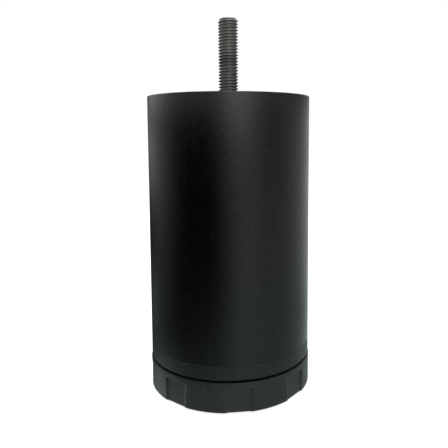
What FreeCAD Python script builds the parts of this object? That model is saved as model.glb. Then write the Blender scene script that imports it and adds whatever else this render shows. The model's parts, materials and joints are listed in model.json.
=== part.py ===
import FreeCAD, Part
import math
import os
from FreeCAD import Vector

# Adjustable furniture leg: a round aluminium leg with a threaded mounting stud on top
# and a hand-turned levelling foot below. Lengths are in millimetres, +Z is up, and the
# origin is the centre of the underside that stands on the floor.

# ---- driving dimensions ----

body_radius = 40.0            # outside of the tube and of the collar under it
foot_radius = 40.25           # the knob stands a hair proud of the collar
foot_travel = 20.0            # how far the foot screws down out of the leg

pad_radius = 33.0
pad_thickness = 2.0
pad_inset = 0.8               # depth of the pad's seat in the glide disc

disc_radius = 35.6
disc_top = 5.0

knob_bottom = 0.5             # the pad keeps the knob off the floor
knob_height = 14.0
knob_deck = 3.5               # thickness of the knob's top wall
knob_wall_bore = 36.25

reveal_gap = 1.0              # shadow gap between knob and collar with the foot screwed home
collar_flange = 7.0           # visible height of the collar
tube_length = 121.0
tube_wall = 2.0

top_plate_thickness = 8.0
plate_clearance = 0.1         # between the top plate and the tube's bore

edge_break = 0.2              # small chamfer on turned and sawn edges
moulded_edge = 0.4            # radius on the outer edges of moulded pieces
slip = 0.1                    # gap between flat faces that turn on each other
fit_gap = 0.05                # gap around pieces that are pushed together

# finger recesses around the knob
recess_count = 8
recess_first_angle = -84.9    # degrees from +X to the recess nearest the front
recess_mouth = 13.6
recess_floor = 10.4
recess_depth = 1.3
recess_fade = 0.45            # the recesses are this much shallower at the bottom
recess_rim = 2.8              # plain rim left above the recesses

# mounting stud: M10 x 50 hexagon bolt
stud_radius = 4.93
stud_pitch = 1.5
stud_pitch_radius = 4.51
stud_length = 50.0
stud_across_flats = 16.0
stud_head = 6.4
stud_washer = 1.6
stud_lock_washer = 2.2

# levelling spindle: M12 x 65 hexagon bolt
spindle_radius = 5.93
spindle_length = 65.0
spindle_across_flats = 18.0
spindle_head = 7.5
spindle_washer_thickness = 2.5
jam_nut_height = 6.0
stop_ring_thickness = 1.2
stop_groove_radius = 5.2

# threaded bush in the collar
bush_bore = 6.0               # 0.07 around the spindle, a running fit
bush_barrel_radius = 8.5
bush_flange_radius = 12.0
bush_flange = 2.5
bush_length = 19.7

# shoulder screw that the glide disc turns on
pivot_shoulder_radius = 3.5
pivot_bore = 3.55
pivot_head_radius = 5.6
pivot_thread_radius = 2.45
pivot_thread_length = 11.0

# screws through the plate and the collar into the tube's screw ports
port_count = 3
port_first_angle = 90.0
port_circle = 32.5
port_boss_radius = 4.5
port_bore = 2.0
screw_radius = 1.95

# ---- heights that follow from them ----

knob_top = knob_bottom + knob_height
collar_bottom = knob_top + reveal_gap
tube_bottom = collar_bottom + collar_flange
leg_top = tube_bottom + tube_length
plate_bottom = leg_top - top_plate_thickness
tube_bore = body_radius - tube_wall

disc_bottom = pad_thickness - pad_inset
pivot_seat = 3.9              # ceiling of the pivot screw's counterbore in the disc
disc_hub_top = 6.4
thrust_ring_top = disc_top + 1.0
spindle_head_bottom = disc_hub_top + 2 * slip
spindle_bearing = spindle_head_bottom + spindle_head
knob_boss_top = spindle_bearing + 3.5
jam_nut_bottom = knob_boss_top + spindle_washer_thickness
jam_nut_top = jam_nut_bottom + jam_nut_height
bush_bottom = jam_nut_top + 2 * slip
bush_top = bush_bottom + bush_length
stop_ring_bottom = bush_top + foot_travel + 3 * slip

stud_bearing = plate_bottom - stud_washer - stud_lock_washer
stud_tip = stud_bearing + stud_length


# ---- shapes that repeat ----

def disc(radius, low, high):
    return Part.makeCylinder(radius, high - low, Vector(0, 0, low))


def ring(outer, inner, low, high):
    return disc(outer, low, high).cut(disc(inner, low, high))


def turned(profile):
    """A solid of revolution about Z from a closed profile of (radius, height) points."""
    points = [Vector(radius, 0, height) for radius, height in profile]
    face = Part.Face(Part.makePolygon(points + points[:1]))
    return face.revolve(Vector(0, 0, 0), Vector(0, 0, 1), 360)


def block(x_low, x_high, width, low, high):
    """A bar along X, centred on Y, turned into place afterwards."""
    return Part.makeBox(x_high - x_low, width, high - low, Vector(x_low, -width / 2, low))


def hexagon(across_flats, low, high):
    corner = across_flats / 2 / math.cos(math.radians(30))
    points = []
    for step in range(7):
        angle = math.radians(60 * step)
        points.append(Vector(corner * math.cos(angle), corner * math.sin(angle), low))
    return Part.Face(Part.makePolygon(points)).extrude(Vector(0, 0, high - low))


def bolt_head(across_flats, low, high, chamfer_low, chamfer_high):
    """A hexagon whose corners are turned off on the sides that are asked for."""
    corner = across_flats / 2 / math.cos(math.radians(30))
    drop = (corner - across_flats / 2) * math.tan(math.radians(30))
    profile = [(0, low)]
    if chamfer_low:
        profile += [(across_flats / 2, low), (corner, low + drop)]
    else:
        profile += [(corner, low)]
    if chamfer_high:
        profile += [(corner, high - drop), (across_flats / 2, high)]
    else:
        profile += [(corner, high)]
    profile += [(0, high)]
    return hexagon(across_flats, low, high).common(turned(profile))


def softened(shape, radius, wanted):
    """Fillets every edge for which wanted(edge) holds."""
    return shape.makeFillet(radius, [edge for edge in shape.Edges if wanted(edge)])


def edge_radius(edge):
    """Distance from the Z axis to the edge's nearest end."""
    return min(math.hypot(vertex.X, vertex.Y) for vertex in edge.Vertexes)


def around(shape, count, first_angle):
    """Copies of a shape spread evenly about Z."""
    copies = []
    for index in range(count):
        copy = shape.copy()
        copy.rotate(Vector(0, 0, 0), Vector(0, 0, 1), first_angle + index * 360 / count)
        copies.append(copy)
    return copies


def at_ports(shape):
    """A shape modelled on the Z axis, copied to every screw port."""
    shape = shape.copy()
    shape.translate(Vector(port_circle, 0, 0))
    return around(shape, port_count, port_first_angle)


# ---- leg ----

def leg_tube():
    """Extruded tube with three screw ports, milled back at the top to seat the plate."""
    bore, rim = tube_bore, body_radius - edge_break
    tube = turned([(bore, tube_bottom), (rim, tube_bottom),
                   (body_radius, tube_bottom + edge_break),
                   (body_radius, leg_top - edge_break), (rim, leg_top), (bore, leg_top)])
    boss = disc(port_boss_radius, tube_bottom, plate_bottom)
    web = block(0, tube_bore + tube_wall / 2 - port_circle, 5.0, tube_bottom, plate_bottom)
    tube = tube.multiFuse(at_ports(boss.fuse(web))).removeSplitter()
    return tube.cut(Part.Compound(at_ports(disc(port_bore, tube_bottom, plate_bottom))))


def top_plate():
    """Steel disc that closes the tube, tapped in the middle for the stud."""
    radius, rim = tube_bore - plate_clearance, tube_bore - plate_clearance - edge_break
    mouth = 5.4
    plate = turned([(stud_pitch_radius, plate_bottom), (radius, plate_bottom),
                    (radius, leg_top - edge_break), (rim, leg_top), (mouth, leg_top),
                    (stud_pitch_radius, leg_top - (mouth - stud_pitch_radius))])
    hole, sink = screw_radius + 0.25, 4.2
    screw_hole = turned([(0, plate_bottom - 1), (hole, plate_bottom - 1),
                         (hole, leg_top - (sink - hole)), (sink, leg_top),
                         (sink, leg_top + 1), (0, leg_top + 1)])
    return plate.cut(Part.Compound(at_ports(screw_hole)))


def top_plate_screws():
    """Countersunk socket screws, M4 x 16, heads just below the plate's face."""
    head, top, length = 4.0, leg_top - 0.2, 16.0
    low = top - length
    screw = turned([(0, low), (screw_radius - edge_break, low), (screw_radius, low + edge_break),
                    (screw_radius, top - (head - screw_radius)), (head, top), (0, top)])
    return Part.Compound(at_ports(screw.cut(hexagon(2.5, top - 1.5, top + 1))))


def mounting_stud():
    """Hexagon bolt put in from inside. Its free thread is parallel rings at the pitch."""
    depth = 0.85
    crest, root = stud_radius, stud_radius - depth
    crest_flat, flank = stud_pitch / 8, stud_pitch * 0.3125
    low = leg_top + 0.3
    end_chamfer = 0.9
    turns = int((stud_tip - end_chamfer - low - flank) / stud_pitch)
    profile = [(0, stud_bearing), (stud_pitch_radius, stud_bearing),
               (stud_pitch_radius, leg_top), (root, leg_top + 0.1), (root, low)]
    for turn in range(turns):
        start = low + turn * stud_pitch
        profile += [(crest, start + flank), (crest, start + flank + crest_flat),
                    (root, start + 2 * flank + crest_flat), (root, start + stud_pitch)]
    last = low + turns * stud_pitch
    profile += [(crest, last + flank), (crest, stud_tip - end_chamfer),
                (crest - end_chamfer, stud_tip), (0, stud_tip)]
    head = bolt_head(stud_across_flats, stud_bearing - stud_head, stud_bearing, True, False)
    return turned(profile).fuse(head)


def stud_plain_washer():
    return ring(9.0, 5.25, plate_bottom - stud_washer, plate_bottom)


def stud_spring_washer():
    """Split washer, pressed flat under the head."""
    high = plate_bottom - stud_washer
    washer = ring(9.05, 5.1, high - stud_lock_washer, high)
    slit = block(4.0, 10.0, 1.2, high - stud_lock_washer - 1, high + 1)
    slit.rotate(Vector(7.0, 0, high - stud_lock_washer / 2), Vector(1, 0, 0), 20)
    return washer.cut(slit)


# ---- collar ----

def bottom_collar():
    """Moulded end piece: a flange as wide as the tube, a spigot inside it and a ribbed hub."""
    floor, spigot_top, spigot = 3.5, tube_bottom + 20.0, tube_bore - 0.2
    hub_top = bush_top - 0.5
    ceiling = bush_bottom + bush_flange
    recess, hub, rim = 14.0, 17.0, body_radius - edge_break
    shell = turned([(recess, collar_bottom), (body_radius, collar_bottom),
                    (body_radius, tube_bottom - edge_break), (rim, tube_bottom),
                    (spigot, tube_bottom), (spigot, spigot_top - 1.5),
                    (spigot - 1.0, spigot_top), (spigot - 2.8, spigot_top),
                    (spigot - 2.8, tube_bottom), (port_circle - 7.5, tube_bottom),
                    (port_circle - 7.5, collar_bottom + floor), (hub, collar_bottom + floor),
                    (hub, ceiling + 3.0), (bush_barrel_radius + 4.5, ceiling + 5.0),
                    (bush_barrel_radius + 4.0, hub_top), (bush_barrel_radius, hub_top),
                    (bush_barrel_radius, ceiling), (recess, ceiling)])
    shell = softened(shell, moulded_edge,
                     lambda edge: edge.BoundBox.ZMax < collar_bottom + 0.01)
    rib = block(hub - 1.5, spigot - 1.5, 2.5, collar_bottom + 1.0, tube_bottom + 12.0)
    shell = shell.multiFuse(around(rib, 6, 0)).removeSplitter()
    port_room = disc(port_boss_radius + 0.6, tube_bottom, spigot_top + 1)
    port_room = port_room.fuse(block(0, 8.0, 6.5, tube_bottom, spigot_top + 1))
    head_room = disc(4.4, collar_bottom - 1, collar_bottom + floor)
    shank_room = disc(screw_radius + 0.3, collar_bottom, tube_bottom + 1)
    cuts = at_ports(port_room) + at_ports(head_room) + at_ports(shank_room)
    return shell.cut(Part.Compound(cuts))


def collar_screws():
    """Pan-head tapping screws from below, up into the tube's screw ports."""
    seat = collar_bottom + 3.5
    head, height, tip = 4.0, 2.6, tube_bottom + 16.0
    screw = turned([(0, seat - height), (head - 1.2, seat - height), (head - 0.3, seat - height + 0.6),
                    (head, seat - height + 1.6), (head, seat), (screw_radius, seat),
                    (screw_radius, tip - 2.5), (0.6, tip), (0, tip)])
    cross = block(-2.2, 2.2, 1.0, seat - height - 1, seat - 1.0)
    screw = screw.cut(cross.fuse(around(cross, 1, 90)[0]))
    return Part.Compound(at_ports(screw))


def threaded_bush():
    """Brass bush pressed into the hub from below, with two knurl bands and a thrust flange."""
    barrel, bore = bush_barrel_radius, bush_bore
    low = bush_bottom + bush_flange
    groove = barrel - 0.6
    return turned([(bore + 0.6, bush_bottom), (bush_flange_radius, bush_bottom),
                   (bush_flange_radius, low), (barrel, low), (barrel, low + 6),
                   (groove, low + 6.6), (groove, low + 8.4), (barrel, low + 9),
                   (barrel, bush_top - 0.6), (barrel - 0.6, bush_top), (bore + 0.6, bush_top),
                   (bore, bush_top - 0.6), (bore, bush_bottom + 0.6)])


# ---- foot ----

def finger_recess():
    """The space of one shallow scoop with a flat floor and sloping sides, on the +X side.

    It is drawn at its top and leans outwards on its way down."""
    floor_radius = foot_radius - recess_depth
    mouth_radius = math.sqrt(foot_radius ** 2 - (recess_mouth / 2) ** 2)
    slope = (recess_mouth - recess_floor) / 2 / (mouth_radius - floor_radius)
    reach = foot_radius + 1.0
    outer = recess_floor / 2 + slope * (reach - floor_radius)
    top = knob_top - recess_rim
    points = [Vector(floor_radius, -recess_floor / 2, top), Vector(reach, -outer, top),
              Vector(reach, outer, top), Vector(floor_radius, recess_floor / 2, top)]
    face = Part.Face(Part.makePolygon(points + points[:1]))
    return face.extrude(Vector(recess_fade, 0, knob_bottom - top) * 1.1)


def knob_wall():
    """The knob's round wall with its finger recesses, every outer edge rounded."""
    wall = ring(foot_radius, knob_wall_bore, knob_bottom, knob_top)
    scoops = around(finger_recess(), recess_count, recess_first_angle)
    wall = wall.cut(Part.Compound(scoops))
    outside = foot_radius - recess_depth - 0.1
    seam = recess_rim + 0.1   # the wall's seam line runs no further than the plain rim

    def wanted(edge):
        height = edge.BoundBox.ZLength
        return edge_radius(edge) > outside and (height < 0.01 or height > seam)

    return softened(wall, moulded_edge, wanted)


def foot_knob():
    """Moulded knob, open below: wall, deck, boss, hub with a hexagon pocket, and ribs."""
    deck, hub, boss = knob_top - knob_deck, 14.0, 13.0
    hub_bottom, rib_bottom = spindle_head_bottom + 0.2, thrust_ring_top + 1.0
    top = turned([(0, deck), (knob_wall_bore + 1.0, deck), (knob_wall_bore + 1.0, knob_top),
                  (boss, knob_top), (boss, knob_boss_top - moulded_edge),
                  (boss - moulded_edge, knob_boss_top), (0, knob_boss_top)])
    thrust_rib = ring(27.5, 22.5, thrust_ring_top + slip, deck + 0.5)
    rib = block(hub - 2.0, knob_wall_bore + 0.5, 2.4, rib_bottom, deck + 0.5)
    inside = [top, disc(hub, hub_bottom, deck + 0.5), thrust_rib]
    inside += around(rib, recess_count, recess_first_angle + 180 / recess_count)
    knob = knob_wall().multiFuse(inside).removeSplitter()
    pocket = hexagon(spindle_across_flats + 2 * fit_gap, knob_bottom, spindle_bearing)
    return knob.cut(pocket.fuse(disc(spindle_radius + fit_gap, knob_bottom, knob_boss_top + 1)))


def spindle():
    """Hexagon bolt that lifts the leg: head in the knob, thread up through the bush."""
    tip, groove = spindle_bearing + spindle_length, stop_groove_radius
    low, high = stop_ring_bottom - fit_gap, stop_ring_bottom + stop_ring_thickness + fit_gap
    shank = turned([(0, spindle_bearing), (spindle_radius, spindle_bearing),
                    (spindle_radius, low), (groove, low), (groove, high),
                    (spindle_radius, high), (spindle_radius, tip - 1.2),
                    (spindle_radius - 1.2, tip), (0, tip)])
    head = bolt_head(spindle_across_flats, spindle_head_bottom, spindle_bearing, True, False)
    hole = disc(pivot_thread_radius + fit_gap, spindle_head_bottom,
                spindle_head_bottom + pivot_thread_length + 2.0)
    return shank.fuse(head).cut(hole)


def spindle_washer():
    return ring(12.0, spindle_radius + 0.3, knob_boss_top, jam_nut_bottom)


def jam_nut():
    """Thin nut that locks the spindle to the knob."""
    nut = bolt_head(spindle_across_flats, jam_nut_bottom, jam_nut_top, True, True)
    bore, mouth = spindle_radius + fit_gap, spindle_radius + 0.8
    drop = mouth - bore
    return nut.cut(turned([(0, jam_nut_bottom), (mouth, jam_nut_bottom),
                           (bore, jam_nut_bottom + drop), (bore, jam_nut_top - drop),
                           (mouth, jam_nut_top), (0, jam_nut_top)]))


def stop_ring():
    """Open retaining ring near the spindle's tip. It meets the bush when the foot is fully out."""
    low, high = stop_ring_bottom, stop_ring_bottom + stop_ring_thickness
    band = ring(9.5, stop_groove_radius + fit_gap, low, high)
    return band.cut(block(0, 12.0, 7.0, low - 1, high + 1))


def pivot_screw():
    """Shoulder screw in the end of the spindle, which holds the glide disc and lets it turn."""
    head_top = pivot_seat - slip
    low = pad_thickness + fit_gap
    tip = spindle_head_bottom + pivot_thread_length
    screw = turned([(0, low), (pivot_head_radius - edge_break, low),
                    (pivot_head_radius, low + edge_break), (pivot_head_radius, head_top),
                    (pivot_shoulder_radius, head_top), (pivot_shoulder_radius, spindle_head_bottom),
                    (pivot_thread_radius, spindle_head_bottom), (pivot_thread_radius, tip - 0.8),
                    (pivot_thread_radius - 0.8, tip), (0, tip)])
    return screw.cut(hexagon(3.0, low - 1, low + 1.1))


# ---- glide ----

def glide_disc():
    """Disc that stays still on the floor while the knob turns above it."""
    hub, rim = 9.0, disc_radius - edge_break
    return turned([(pivot_bore, pivot_seat), (pivot_head_radius + 0.6, pivot_seat),
                   (pivot_head_radius + 0.6, pad_thickness), (pad_radius + fit_gap, pad_thickness),
                   (pad_radius + fit_gap, disc_bottom), (rim, disc_bottom),
                   (disc_radius, disc_bottom + edge_break), (disc_radius, disc_top - 0.5),
                   (disc_radius - 0.5, disc_top), (hub + 0.5, disc_top), (hub, disc_top + 0.5),
                   (hub, disc_hub_top), (pivot_bore, disc_hub_top)])


def thrust_ring():
    """Flat slip ring between the glide disc and the knob's thrust rib."""
    return ring(28.0, 22.0, disc_top, thrust_ring_top)


def glide_pad():
    """Non-slip pad with rounded edge and shallow rings pressed into its underside."""
    profile = [(0, 0)]
    for radius in (9.0, 15.0, 21.0, 27.0):
        profile += [(radius - 0.6, 0), (radius - 0.3, 0.4), (radius + 0.3, 0.4), (radius + 0.6, 0)]
    profile += [(pad_radius - 0.5, 0), (pad_radius, 0.5), (pad_radius, pad_thickness),
                (0, pad_thickness)]
    return turned(profile)


pieces = [leg_tube, top_plate, top_plate_screws, mounting_stud, stud_plain_washer,
          stud_spring_washer, bottom_collar, collar_screws, threaded_bush, foot_knob,
          spindle, spindle_washer, jam_nut, stop_ring, pivot_screw, glide_disc, thrust_ring,
          glide_pad]

os.makedirs("parts", exist_ok=True)
for piece in pieces:
    piece().exportStep("parts/" + piece.__name__ + ".step")
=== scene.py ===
import json
import math
import bmesh
import bpy
from mathutils import Matrix, Vector


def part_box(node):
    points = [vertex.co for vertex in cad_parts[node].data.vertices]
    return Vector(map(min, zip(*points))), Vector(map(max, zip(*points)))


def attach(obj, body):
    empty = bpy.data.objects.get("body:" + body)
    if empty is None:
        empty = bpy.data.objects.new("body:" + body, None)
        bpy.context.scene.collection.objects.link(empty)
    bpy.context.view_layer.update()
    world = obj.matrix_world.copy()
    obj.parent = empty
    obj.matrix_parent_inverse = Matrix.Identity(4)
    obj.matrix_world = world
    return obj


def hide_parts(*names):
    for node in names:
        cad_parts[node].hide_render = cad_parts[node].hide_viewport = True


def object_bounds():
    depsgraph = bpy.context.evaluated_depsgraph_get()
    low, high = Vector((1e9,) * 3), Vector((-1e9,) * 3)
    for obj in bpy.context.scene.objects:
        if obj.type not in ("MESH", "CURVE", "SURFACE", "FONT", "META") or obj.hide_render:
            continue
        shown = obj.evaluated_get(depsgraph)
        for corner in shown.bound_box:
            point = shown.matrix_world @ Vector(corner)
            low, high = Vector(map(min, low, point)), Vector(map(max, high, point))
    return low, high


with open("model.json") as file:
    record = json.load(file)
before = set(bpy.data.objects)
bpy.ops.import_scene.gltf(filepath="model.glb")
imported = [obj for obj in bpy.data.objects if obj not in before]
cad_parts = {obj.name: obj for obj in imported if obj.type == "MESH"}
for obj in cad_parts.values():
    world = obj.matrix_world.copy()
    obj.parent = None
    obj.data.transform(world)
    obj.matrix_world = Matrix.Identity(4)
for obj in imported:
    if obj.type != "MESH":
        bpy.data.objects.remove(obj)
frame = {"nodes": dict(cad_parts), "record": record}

# Looks for the adjustable furniture leg. Lengths are in metres, in the CAD model's own frame:
# +Z is up, -Y faces the viewer and +X is to the viewer's right.

cad_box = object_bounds()
nodes = frame["nodes"]
middle = (cad_box[0] + cad_box[1]) / 2
tube_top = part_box("leg_tube")[1].z
tube_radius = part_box("leg_tube")[1].x

# Thread and head sizes of the two bolts, the same as the CAD solids that they stand for.
STUD_RADIUS, STUD_DEPTH, STUD_PITCH, STUD_CORE = 0.00493, 0.00088, 0.0015, 0.00448
STUD_HEAD, STUD_ACROSS_FLATS, STUD_CHAMFER = 0.0064, 0.016, 0.0009
STUD_SUNK = 0.0004            # how far below the plate's face the stud's thread begins
SPINDLE_RADIUS, SPINDLE_DEPTH, SPINDLE_PITCH = 0.00593, 0.00105, 0.00175
SPINDLE_HEAD, SPINDLE_ACROSS_FLATS, SPINDLE_CHAMFER = 0.0075, 0.018, 0.0012
SPINDLE_NECK = 0.002          # plain length between the spindle's head and its thread
STOP_GROOVE, STOP_GROOVE_GAP = 0.0052, 0.0002
PIVOT_HOLE, PIVOT_HOLE_DEPTH = 0.0025, 0.013


# ---- materials ----

class Material:
    """A node material in object space, built by short calls. Sizes of patterns are in metres."""

    def __init__(self, name, specular=0.5, metallic=0.0):
        self.material = bpy.data.materials.new(name)
        self.material.use_nodes = True
        self.tree = self.material.node_tree
        self.shader = self.tree.nodes["Principled BSDF"]
        self.shader.inputs["Metallic"].default_value = metallic
        self.shader.inputs["Specular IOR Level"].default_value = specular
        self.place = self.node("TexCoord").outputs["Object"]
        self.bumps = None

    def node(self, kind, inputs=None, **settings):
        made = self.tree.nodes.new("ShaderNode" + kind)
        for name, value in settings.items():
            setattr(made, name, value)
        for key, value in (inputs or {}).items():
            if isinstance(value, bpy.types.NodeSocket):
                self.tree.links.new(value, made.inputs[key])
            else:
                made.inputs[key].default_value = value
        return made

    def stretched(self, scale):
        """Object space scaled per axis, for patterns that run along an axis."""
        return self.node("Mapping", {"Vector": self.place, "Scale": scale}).outputs["Vector"]

    def noise(self, size, detail=3.0, roughness=0.55, stretch=None, distortion=0.0):
        where = self.stretched(stretch) if stretch else self.place
        made = self.node("TexNoise", {"Vector": where, "Scale": 1 / size, "Detail": detail,
                                      "Roughness": roughness, "Distortion": distortion})
        return made.outputs["Fac"]

    def cells(self, size):
        """Distance to the middle of the nearest of many small cells."""
        return self.node("TexVoronoi", {"Vector": self.place, "Scale": 1 / size}).outputs["Distance"]

    def spread(self, value, low, high, to_low=0.0, to_high=1.0):
        """Maps low..high of a value to to_low..to_high, clamped."""
        made = self.node("MapRange", {"Value": value, "From Min": low, "From Max": high,
                                      "To Min": to_low, "To Max": to_high})
        return made.outputs["Result"]

    def maths(self, operation, first, second=0.0):
        return self.node("Math", {0: first, 1: second}, operation=operation).outputs["Value"]

    def mix(self, factor, first, second):
        """A colour between two colours, each a tuple or a socket."""
        made = self.node("Mix", {0: factor}, data_type="RGBA")
        for socket, value in ((made.inputs[6], first), (made.inputs[7], second)):
            if isinstance(value, bpy.types.NodeSocket):
                self.tree.links.new(value, socket)
            else:
                socket.default_value = (*value, 1.0)
        return made.outputs[2]

    def from_axis(self):
        """Distance from the object's upright axis."""
        level = self.stretched((1.0, 1.0, 0.0))
        return self.node("VectorMath", {0: level}, operation="LENGTH").outputs["Value"]

    def height(self):
        """Height in the object's frame, as it is at rest."""
        return self.node("SeparateXYZ", {"Vector": self.place}).outputs["Z"]

    def set(self, socket, value):
        self.tree.links.new(value, self.shader.inputs[socket])

    def bump(self, height, depth, strength=1.0):
        """Adds relief of that depth in metres to what is there already."""
        inputs = {"Height": height, "Distance": depth, "Strength": strength}
        if self.bumps:
            inputs["Normal"] = self.bumps
        self.bumps = self.node("Bump", inputs).outputs["Normal"]
        self.set("Normal", self.bumps)

    def worn_edges(self, colour, edge_colour, width, amount):
        """Edges a little lighter than the faces, as handling leaves them."""
        bevel = self.node("Bevel", {"Radius": width}, samples=6).outputs["Normal"]
        flat = self.node("NewGeometry").outputs["Normal"]
        turn = self.node("VectorMath", {0: bevel, 1: flat}, operation="DOT_PRODUCT").outputs["Value"]
        worn = self.spread(turn, 0.995, 0.80, 0.0, amount)
        return self.mix(worn, colour, edge_colour)


def black_anodised():
    """Satin black anodised extrusion: fine matt grain, mottle, faint draw lines along the tube."""
    made = Material("black_anodised", specular=0.272)
    grain = made.noise(0.00045, detail=4.0, roughness=0.7)
    mottle = made.noise(0.0011, detail=5.0, roughness=0.7)
    lines = made.noise(0.0009, detail=3.0, roughness=0.6, stretch=(1.0, 1.0, 0.012))
    broad = made.noise(0.035, detail=2.0)
    tint = made.mix(made.spread(broad, 0.35, 0.65), (0.0001, 0.0003, 0.0009), (0.0003, 0.0005, 0.0013))
    speck = made.maths("ADD", made.spread(grain, 0.60, 0.78, 0.0, 0.3),
                       made.spread(mottle, 0.47, 0.72, 0.0, 0.35))
    made.set("Base Color", made.mix(speck, tint, (0.0022, 0.0026, 0.0036)))
    rough = made.maths("ADD", made.spread(lines, 0.3, 0.7, -0.02, 0.02),
                       made.spread(broad, 0.3, 0.7, 0.28, 0.33))
    made.set("Roughness", made.maths("ADD", rough, made.spread(mottle, 0.3, 0.7, -0.05, 0.05)))
    # Metal of so dark a colour reflects less than the coat, so this makes the mottle's dull spots.
    made.set("Metallic", made.spread(mottle, 0.40, 0.65, 0.22, 0.0))
    made.bump(grain, 0.000012)
    made.bump(mottle, 0.000022)
    made.bump(lines, 0.000003)
    return made.material


def black_coated_steel():
    """Powder-coated plate: orange-peel relief and a fine fleck."""
    made = Material("black_coated_steel", specular=0.4)
    peel = made.noise(0.0011, detail=2.0, roughness=0.45)
    fleck = made.noise(0.00022, detail=2.0)
    base = made.mix(made.spread(peel, 0.35, 0.7), (0.010, 0.010, 0.0105), (0.017, 0.017, 0.0175))
    made.set("Base Color", made.mix(made.spread(fleck, 0.6, 0.75, 0.0, 0.4), base, (0.04, 0.04, 0.041)))
    made.set("Roughness", made.spread(peel, 0.3, 0.7, 0.42, 0.58))
    made.bump(peel, 0.00007)
    made.bump(fleck, 0.00001)
    return made.material


def moulded_nylon(name, dark, light, rough_low, rough_high, texture=0.00032, specular=0.22, sheen_band=None):
    """Black moulded plastic: fine spark-eroded texture, mottle, faint flow marks and a little dust.

    The last argument gives the (inner, outer) radius of the recesses, which are painted a little lighter
    there as a painted sheen."""
    made = Material(name, specular=specular)
    pits = made.cells(texture)
    grain = made.noise(texture * 0.8, detail=3.0, roughness=0.6)
    mottle = made.noise(0.0014, detail=5.0, roughness=0.7)
    flow = made.noise(0.012, detail=3.0, stretch=(1.0, 1.0, 2.2), distortion=0.6)
    lighter = tuple(channel * 2.4 for channel in light)
    base = made.mix(made.spread(flow, 0.3, 0.7), dark, light)
    base = made.mix(made.spread(mottle, 0.45, 0.62), base, lighter)
    base = made.mix(made.spread(grain, 0.58, 0.75, 0.0, 0.35), base, lighter)
    # Painted sheen: the knob's recesses are painted a little lighter than the faces round them.
    if sheen_band:
        inner, outer = sheen_band
        radius = made.from_axis()
        painted_sheen = made.maths("MULTIPLY", made.spread(radius, inner - 0.001, inner),
                            made.spread(radius, outer, outer - 0.0005, 0.0, 0.2))
        base = made.mix(painted_sheen, base, lighter)
    dust = made.maths("MULTIPLY", made.spread(made.noise(0.0007, detail=1.0), 0.72, 0.80),
                      made.spread(flow, 0.45, 0.7, 0.0, 0.5))
    base = made.mix(dust, base, (0.035, 0.036, 0.036))
    made.set("Base Color", made.worn_edges(base, lighter, 0.0004, 0.25))
    made.set("Roughness", made.maths("ADD", made.spread(flow, 0.3, 0.7, rough_low, rough_high),
                                     made.spread(mottle, 0.3, 0.7, -0.03, 0.03)))
    made.bump(pits, 0.00003, 0.7)
    made.bump(grain, 0.00002, 0.8)
    made.bump(mottle, 0.000035)
    return made.material


def thread_steel(name, root, crest, radius, depth, rough, stain_height=None):
    """Rolled thread: the roots painted darker as painted shade, the crests lighter, part wear and part
    painted highlight, with turning marks.

    A stained thread has a dark band round it at stain_height and is a little darker below that."""
    made = Material(name, metallic=1.0)
    high = made.spread(made.from_axis(), radius - depth, radius)
    cloud = made.noise(0.006, detail=4.0, distortion=0.4)
    grain = made.noise(0.00035, detail=3.0)
    # Painted shade in the thread's roots; the lighter crests are part wear and part painted highlight.
    colour = made.mix(high, root, crest)
    colour = made.mix(made.spread(cloud, 0.4, 0.75, 0.0, 0.45), colour, root)
    if stain_height:
        height = made.height()
        away = made.maths("ABSOLUTE", made.maths("SUBTRACT", height, stain_height))
        band = made.spread(made.maths("ADD", away, made.spread(cloud, 0.3, 0.7, -0.0006, 0.0006)),
                           0.0016, 0.0030, 0.6, 0.0)
        below = made.spread(height, stain_height, stain_height - 0.004, 0.0, 0.22)
        colour = made.mix(made.maths("MAXIMUM", band, below), colour, (0.062, 0.054, 0.066))
    made.set("Base Color", colour)
    worn = made.spread(cloud, 0.3, 0.7, rough - 0.05, rough + 0.10)
    made.set("Roughness", made.maths("ADD", worn, made.spread(grain, 0.3, 0.7, -0.03, 0.03)))
    made.bump(made.noise(0.00025, detail=2.0, stretch=(0.25, 0.25, 3.0)), 0.000006)
    made.bump(grain, 0.000006)
    return made.material


def plated(name, shade, bright, rough):
    """Plated or turned metal: cloudy sheen, fine scratches and a soft grain."""
    made = Material(name, metallic=1.0)
    cloud = made.noise(0.004, detail=5.0, roughness=0.6, distortion=0.3)
    scratch = made.noise(0.0006, detail=2.0, stretch=(0.2, 3.0, 1.0))
    base = made.mix(made.spread(cloud, 0.3, 0.7), shade, bright)
    made.set("Base Color", made.worn_edges(base, bright, 0.0002, 0.6))
    made.set("Roughness", made.maths("ADD", made.spread(cloud, 0.3, 0.7, rough - 0.05, rough + 0.08),
                                     made.spread(scratch, 0.4, 0.7, -0.03, 0.05)))
    made.bump(scratch, 0.000006)
    return made.material


def pad_rubber():
    """Matt rubber with a coarse grain, and dust in broad patches."""
    made = Material("pad_rubber", specular=0.25)
    grain = made.noise(0.0006, detail=3.0, roughness=0.65)
    dust = made.noise(0.009, detail=4.0)
    base = made.mix(made.spread(grain, 0.35, 0.7), (0.012, 0.012, 0.0125), (0.024, 0.024, 0.024))
    made.set("Base Color", made.mix(made.spread(dust, 0.5, 0.8, 0.0, 0.3), base, (0.06, 0.058, 0.055)))
    made.set("Roughness", made.spread(grain, 0.3, 0.7, 0.72, 0.9))
    made.bump(grain, 0.00006)
    return made.material


def slip_plastic():
    """Natural acetal: waxy off-white, faintly mottled."""
    made = Material("slip_plastic")
    cloud = made.noise(0.006, detail=3.0)
    made.set("Base Color", made.mix(made.spread(cloud, 0.3, 0.7), (0.70, 0.69, 0.64), (0.78, 0.77, 0.73)))
    made.set("Roughness", made.spread(cloud, 0.3, 0.7, 0.3, 0.42))
    made.bump(made.noise(0.0005, detail=2.0), 0.00001)
    return made.material


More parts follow.
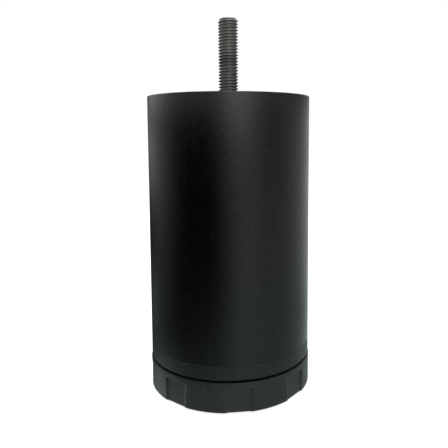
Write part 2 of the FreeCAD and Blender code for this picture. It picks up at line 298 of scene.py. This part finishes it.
finishes = {
    "black_anodised": black_anodised(),
    "black_coated_steel": black_coated_steel(),
    "black_oxide_steel": plated("black_oxide_steel", (0.018, 0.018, 0.02), (0.045, 0.045, 0.048), 0.42),
    "stud_steel": thread_steel("stud_steel", (0.122, 0.118, 0.112), (0.182, 0.176, 0.166),
                               STUD_RADIUS, STUD_DEPTH, 0.55, stain_height=0.1612),
    "zinc_steel": plated("zinc_steel", (0.42, 0.43, 0.45), (0.62, 0.63, 0.64), 0.32),
    "spindle_steel": thread_steel("spindle_steel", (0.34, 0.34, 0.35), (0.60, 0.61, 0.62),
                                  SPINDLE_RADIUS, SPINDLE_DEPTH, 0.3),
    "collar_plastic": moulded_nylon("collar_plastic", (0.0008, 0.0012, 0.0013),
                                    (0.0022, 0.0028, 0.0029), 0.38, 0.46),
    # Its recesses get a painted sheen, a little lighter than the faces round them.
    "knob_plastic": moulded_nylon("knob_plastic", (0.0014, 0.0024, 0.0024),
                                  (0.0034, 0.0048, 0.0046), 0.40, 0.50, specular=0.27,
                                  sheen_band=(0.0375, 0.0400)),
    "disc_plastic": moulded_nylon("disc_plastic", (0.011, 0.011, 0.0115), (0.016, 0.016, 0.0165),
                                  0.48, 0.58, texture=0.0006),
    "slip_plastic": slip_plastic(),
    "pad_rubber": pad_rubber(),
    "bush_brass": plated("bush_brass", (0.50, 0.36, 0.15), (0.72, 0.56, 0.28), 0.28),
}

for subpart in frame["record"]["subparts"]:
    mesh = nodes[subpart["node"]].data
    mesh.materials.clear()
    mesh.materials.append(finishes[subpart["material_slot"]])


# ---- threaded pieces ----

# One pitch of the thread: (share of the pitch, share of the depth).
THREAD_PROFILE = ((0.0, 1.0), (0.125, 1.0), (0.20, 0.76), (0.30, 0.43), (0.40, 0.11), (0.4625, 0.0),
                  (0.6625, 0.0), (0.725, 0.11), (0.825, 0.43), (0.925, 0.76))
SIDES = 96
CHAMFER_ROWS = 5
SHARP_EDGE = 32               # degrees; flatter edges are shaded smooth


def bolt_head_rows(low, high, across_flats):
    """(height, round radius, across flats) rows up a head whose lower corners are turned off."""
    flat, corner = across_flats / 2, across_flats / math.sqrt(3)
    drop = (corner - flat) * math.tan(math.radians(30))
    rows = []
    for step in range(CHAMFER_ROWS + 1):
        share = step / CHAMFER_ROWS
        rows.append((low + drop * share, flat + (corner - flat) * share, across_flats))
    return rows + [(high, corner, across_flats)]


def screw_mesh(name, start_rows, low, high, pitch, radius, depth, limit):
    """One closed mesh: plain rows from the screw's lower end, then a right-hand helical thread.

    A plain row is (height, round radius, across flats or None). limit(height) is the largest
    radius that the thread may have there."""
    def point(angle, reach, height):
        return Vector((reach * math.cos(angle), reach * math.sin(angle), height))

    angles = [2 * math.pi * step / SIDES for step in range(SIDES)]
    rows = []
    for height, reach, across_flats in start_rows:
        row = []
        for angle in angles:
            side = reach
            if across_flats:
                side = across_flats / 2 / math.cos(angle % (math.pi / 3) - math.pi / 6)
            row.append(point(angle, min(reach, side), height))
        rows.append(row)
    first, lead = len(rows), len(THREAD_PROFILE)
    for turn in range(-1, math.ceil((high - low) / pitch) + 1):
        for phase, share in THREAD_PROFILE:
            row = []
            for angle in angles:
                height = low + pitch * (turn + phase + angle / (2 * math.pi))
                held = min(max(height, low), high)
                reach = radius - depth * (1 - share) if held == height else radius
                row.append(point(angle, min(reach, limit(held)), held))
            rows.append(row)

    # The two ends are closed, and each turn of the thread joins on to the next one a lead higher.
    faces = [list(range(SIDES))[::-1], list(range((len(rows) - 1) * SIDES, len(rows) * SIDES))]
    for index in range(len(rows) - 1):
        for step in range(SIDES):
            after = (step + 1) % SIDES
            lift = lead if index >= first and after == 0 else 0
            if index + 1 + lift < len(rows):
                faces.append([index * SIDES + step, (index + lift) * SIDES + after,
                              (index + 1 + lift) * SIDES + after, (index + 1) * SIDES + step])
    mesh = bpy.data.meshes.new(name)
    mesh.from_pydata([corner for row in rows for corner in row], [], faces)
    made = bmesh.new()
    made.from_mesh(mesh)
    bmesh.ops.remove_doubles(made, verts=made.verts, dist=1e-7)
    bmesh.ops.recalc_face_normals(made, faces=made.faces)
    made.to_mesh(mesh)
    made.free()
    mesh.shade_smooth()
    mesh.set_sharp_from_angle(angle=math.radians(SHARP_EDGE))
    piece = bpy.data.objects.new(name, mesh)
    bpy.context.scene.collection.objects.link(piece)
    return piece


def finished(piece, slot, body, node):
    """Gives a piece its finish and puts it in the place of a CAD node."""
    piece.data.materials.append(finishes[slot])
    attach(piece, body)
    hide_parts(node)


# Mounting stud: M10 x 50 bolt put in from inside, plain where it passes through the plate.
stud_bottom, stud_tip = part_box("mounting_stud")[0].z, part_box("mounting_stud")[1].z
stud_bearing = stud_bottom + STUD_HEAD
stud_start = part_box("top_plate")[1].z - STUD_SUNK


def stud_limit(height):
    if height <= stud_start:
        return STUD_CORE
    return min(STUD_RADIUS, STUD_RADIUS - STUD_CHAMFER + stud_tip - height)


stud_rows = bolt_head_rows(stud_bottom, stud_bearing, STUD_ACROSS_FLATS)
stud_rows += [(stud_bearing, STUD_CORE, None), (stud_start, STUD_CORE, None)]
stud = screw_mesh("mounting_stud_thread", stud_rows, stud_start, stud_tip, STUD_PITCH,
                  STUD_RADIUS, STUD_DEPTH, stud_limit)
finished(stud, "stud_steel", "leg", "mounting_stud")

# Levelling spindle: M12 x 65 bolt, drilled from below for the pivot screw, grooved for the stop ring.
spindle_bottom, spindle_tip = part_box("spindle")[0].z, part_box("spindle")[1].z
spindle_bearing = spindle_bottom + SPINDLE_HEAD
spindle_start = spindle_bearing + SPINDLE_NECK
groove_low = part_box("stop_ring")[0].z - STOP_GROOVE_GAP
groove_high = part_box("stop_ring")[1].z + STOP_GROOVE_GAP


def spindle_limit(height):
    if groove_low < height < groove_high:
        return STOP_GROOVE
    if height <= spindle_start:
        return SPINDLE_RADIUS
    return min(SPINDLE_RADIUS, SPINDLE_RADIUS - SPINDLE_CHAMFER + spindle_tip - height)


spindle_rows = [(spindle_bottom + PIVOT_HOLE_DEPTH, PIVOT_HOLE, None), (spindle_bottom, PIVOT_HOLE, None)]
spindle_rows += bolt_head_rows(spindle_bottom, spindle_bearing, SPINDLE_ACROSS_FLATS)
spindle_rows += [(spindle_bearing, SPINDLE_RADIUS, None), (spindle_start, SPINDLE_RADIUS, None)]
spindle = screw_mesh("spindle_thread", spindle_rows, spindle_start, spindle_tip, SPINDLE_PITCH,
                     SPINDLE_RADIUS, SPINDLE_DEPTH, spindle_limit)
finished(spindle, "spindle_steel", "foot", "spindle")


# ---- floor ----

def plain_material(name, colour, emission):
    """Matt colour without any gloss, which also gives off white light of that strength."""
    made = bpy.data.materials.new(name)
    made.use_nodes = True
    shader = made.node_tree.nodes["Principled BSDF"]
    shader.inputs["Base Color"].default_value = (*colour, 1.0)
    shader.inputs["Roughness"].default_value = 0.9
    shader.inputs["Specular IOR Level"].default_value = 0.0
    shader.inputs["Emission Color"].default_value = (1.0, 1.0, 1.0, 1.0)
    shader.inputs["Emission Strength"].default_value = emission
    return made


def stage_sheet(name, points, faces, material, seen, reflected):
    """A surface that isn't part of the object. It throws no shadow and bounces no light."""
    mesh = bpy.data.meshes.new(name)
    mesh.from_pydata(points, [], faces)
    mesh.materials.append(material)
    sheet = bpy.data.objects.new(name, mesh)
    bpy.context.scene.collection.objects.link(sheet)
    sheet.visible_camera, sheet.visible_glossy = seen, reflected
    sheet.visible_diffuse = sheet.visible_shadow = False
    return sheet


def floor_material():
    """Plain pale floor, open from below so that the underside can be looked at."""
    made = plain_material("floor_white", (0.40, 0.40, 0.40), emission=0.68)
    tree = made.node_tree
    mixed = tree.nodes.new("ShaderNodeMixShader")
    tree.links.new(tree.nodes.new("ShaderNodeNewGeometry").outputs["Backfacing"], mixed.inputs[0])
    tree.links.new(tree.nodes["Principled BSDF"].outputs[0], mixed.inputs[1])
    tree.links.new(tree.nodes.new("ShaderNodeBsdfTransparent").outputs[0], mixed.inputs[2])
    tree.links.new(mixed.outputs[0], tree.nodes["Material Output"].inputs["Surface"])
    return made


FLOOR_REACH, FLOOR_GAP = 6.0, 0.00005
floor_corners = [(x * FLOOR_REACH, y * FLOOR_REACH, cad_box[0].z - FLOOR_GAP)
                 for x, y in ((-1, -1), (1, -1), (1, 1), (-1, 1))]
floor = stage_sheet("floor", floor_corners, [(0, 1, 2, 3)], floor_material(), seen=True, reflected=False)
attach(floor, "glide")       # so that the foot stands on it in every pose


# ---- reflection card ----

# A curved card stands round the object, open at the back on the right, and is seen only in the
# object's reflections. Azimuths are in degrees from the viewer's side, positive to the viewer's
# right. Each ..._EDGE is the pair of azimuths or heights between which a brightness changes.
CARD_RADIUS = 0.105
CARD_FROM, CARD_TO = -190, 150
CARD_LOW, CARD_HIGH = -0.06, 0.17
CARD_COLUMNS, CARD_ROWS = 170, 46
RIGHT_GLOW, RIGHT_EDGE = 1.05, (-20, 14)
TOP_GLOW, TOP_EDGE = 1.5, (0.134, 0.149)
TOP_DIMMED, TOP_DIMMED_EDGE = 0.8, (40, 100)
FOOT_GLOW, FOOT_EDGE = 0.88, (-0.008, -0.036)
FOOT_RAISED, FOOT_RAISED_EDGE = 0.74, (-40, -90)
FOOT_TINT, TINT_EDGE = Vector((0.87, 1.02, 1.0)), (0.0, 0.09)
LEFT_EDGE, BACK_EDGE = (-140, -85), (-140, -188)
# Soft patches on it: (azimuth, half width, height, half height, added glow).
CARD_PATCHES = ((9, 17, 0.158, 0.030, 2.6), (20, 14, 0.060, 0.080, 0.25), (48, 20, 0.130, 0.050, -0.3),
                (-84, 20, 0.060, 0.120, 0.24), (-88, 25, 0.115, 0.045, 0.45),
                (-114, 21, 0.118, 0.030, 0.50), (-112, 18, 0.016, 0.032, 0.20),
                (-15, 35, -0.010, 0.038, 0.40), (-3, 15, 0.050, 0.028, -0.14),
                (105, 35, 0.008, 0.028, -0.27), (58, 22, 0.045, 0.130, -0.14),
                (110, 45, 0.050, 0.300, -0.15), (110, 45, 0.145, 0.030, -0.15))


def eased(value, start, end):
    """0 before start, 1 after end, with a smooth rise between them."""
    share = min(max((value - start) / (end - start), 0.0), 1.0)
    return share * share * (3 - 2 * share)


def card_glow(azimuth, height):
    """Black left of the middle, bright to the right, above and below, and plain white behind."""
    front = eased(azimuth, *LEFT_EDGE)
    top = (TOP_GLOW - TOP_DIMMED * eased(azimuth, *TOP_DIMMED_EDGE)) * front
    foot = (FOOT_GLOW + FOOT_RAISED * eased(azimuth, *FOOT_RAISED_EDGE)) * front
    glow = RIGHT_GLOW * eased(azimuth, *RIGHT_EDGE)
    glow += (top - glow) * eased(height, *TOP_EDGE)
    glow += (foot - glow) * eased(height, *FOOT_EDGE)
    for at, across, level, tall, added in CARD_PATCHES:
        glow += added * math.exp(-((azimuth - at) / across) ** 2 - ((height - level) / tall) ** 2)
    behind = eased(azimuth, *BACK_EDGE)
    return max(glow, 0.0) * (1 - behind) + behind


def reflected_card():
    points, colours, faces = [], [], []
    for column in range(CARD_COLUMNS + 1):
        azimuth = CARD_FROM + (CARD_TO - CARD_FROM) * column / CARD_COLUMNS
        for row in range(CARD_ROWS + 1):
            height = CARD_LOW + (CARD_HIGH - CARD_LOW) * row / CARD_ROWS
            points.append((CARD_RADIUS * math.sin(math.radians(azimuth)),
                           -CARD_RADIUS * math.cos(math.radians(azimuth)), height))
            tint = FOOT_TINT.lerp(Vector((1, 1, 1)), eased(height, *TINT_EDGE))
            colours += [*(card_glow(azimuth, height) * tint), 1.0]
            if column < CARD_COLUMNS and row < CARD_ROWS:
                start = column * (CARD_ROWS + 1) + row
                faces.append((start, start + 1, start + CARD_ROWS + 2, start + CARD_ROWS + 1))
    material = plain_material("card", (0.0, 0.0, 0.0), emission=1.0)
    tree = material.node_tree
    shade = tree.nodes.new("ShaderNodeAttribute")
    shade.attribute_name = "glow"
    tree.links.new(shade.outputs["Color"], tree.nodes["Principled BSDF"].inputs["Emission Color"])
    card = stage_sheet("card", points, faces, material, seen=False, reflected=True)
    card.data.attributes.new("glow", "FLOAT_COLOR", "POINT").data.foreach_set("color", colours)


reflected_card()


# ---- lights ----

def softbox(name, azimuth, elevation, distance, width, height, power):
    """A rectangular light aimed at the middle of the object."""
    light = bpy.data.lights.new(name, "AREA")
    light.shape, light.size, light.size_y, light.energy = "RECTANGLE", width, height, power
    lamp = bpy.data.objects.new(name, light)
    bpy.context.scene.collection.objects.link(lamp)
    turn, lift = math.radians(azimuth), math.radians(elevation)
    towards = Vector((math.sin(turn) * math.cos(lift), -math.cos(turn) * math.cos(lift), math.sin(lift)))
    lamp.location = middle + towards * distance
    lamp.rotation_euler = towards.to_track_quat("Z", "Y").to_euler()


# Name, azimuth, elevation, distance, width, height and power in watts.
softbox("key", 17, 31, 0.9, 0.36, 0.36, 3.0)
softbox("fill_left", -125, 28, 0.9, 0.5, 0.4, 3.0)
softbox("back", 175, 50, 1.1, 0.8, 0.5, 7.0)
softbox("top", 0, 89, 1.1, 0.7, 0.7, 5.0)

world = bpy.data.worlds.new("studio")
world.use_nodes = True
world.node_tree.nodes["Background"].inputs["Color"].default_value = (1.0, 1.0, 1.0, 1.0)
world.cycles.sampling_method = "NONE"    # sampled as a light, it would shine through the card
bpy.context.scene.world = world
bpy.context.scene.view_settings.view_transform = "Standard"


# ---- camera ----

# It stands close in front, level with the upper part of the leg, and looks a little down.
CAMERA_DISTANCE, CAMERA_DROP = 6.5890, 0.4600        # in tube radii, from the axis and the top
CAMERA_YAW, CAMERA_PITCH, CAMERA_ROLL = 0.0398, -0.0941, -0.0037
camera_data = bpy.data.cameras.new("camera")
camera_data.lens, camera_data.sensor_width = 41.93, 36.0
camera_data.shift_x, camera_data.shift_y = -0.0580, -0.0900
camera_data.clip_start, camera_data.clip_end = 0.01, 50.0
camera = bpy.data.objects.new("camera", camera_data)
bpy.context.scene.collection.objects.link(camera)
ahead = Vector((math.sin(CAMERA_YAW) * math.cos(CAMERA_PITCH),
                math.cos(CAMERA_YAW) * math.cos(CAMERA_PITCH), math.sin(CAMERA_PITCH)))
right = Vector((math.cos(CAMERA_YAW), -math.sin(CAMERA_YAW), 0.0))
right = Matrix.Rotation(-CAMERA_ROLL, 3, ahead) @ right
turned = Matrix((right, right.cross(ahead), -ahead)).transposed()
camera.matrix_world = Matrix.Translation(
    (0.0, -CAMERA_DISTANCE * tube_radius, tube_top - CAMERA_DROP * tube_radius)) @ turned.to_4x4()
bpy.context.scene.camera = camera
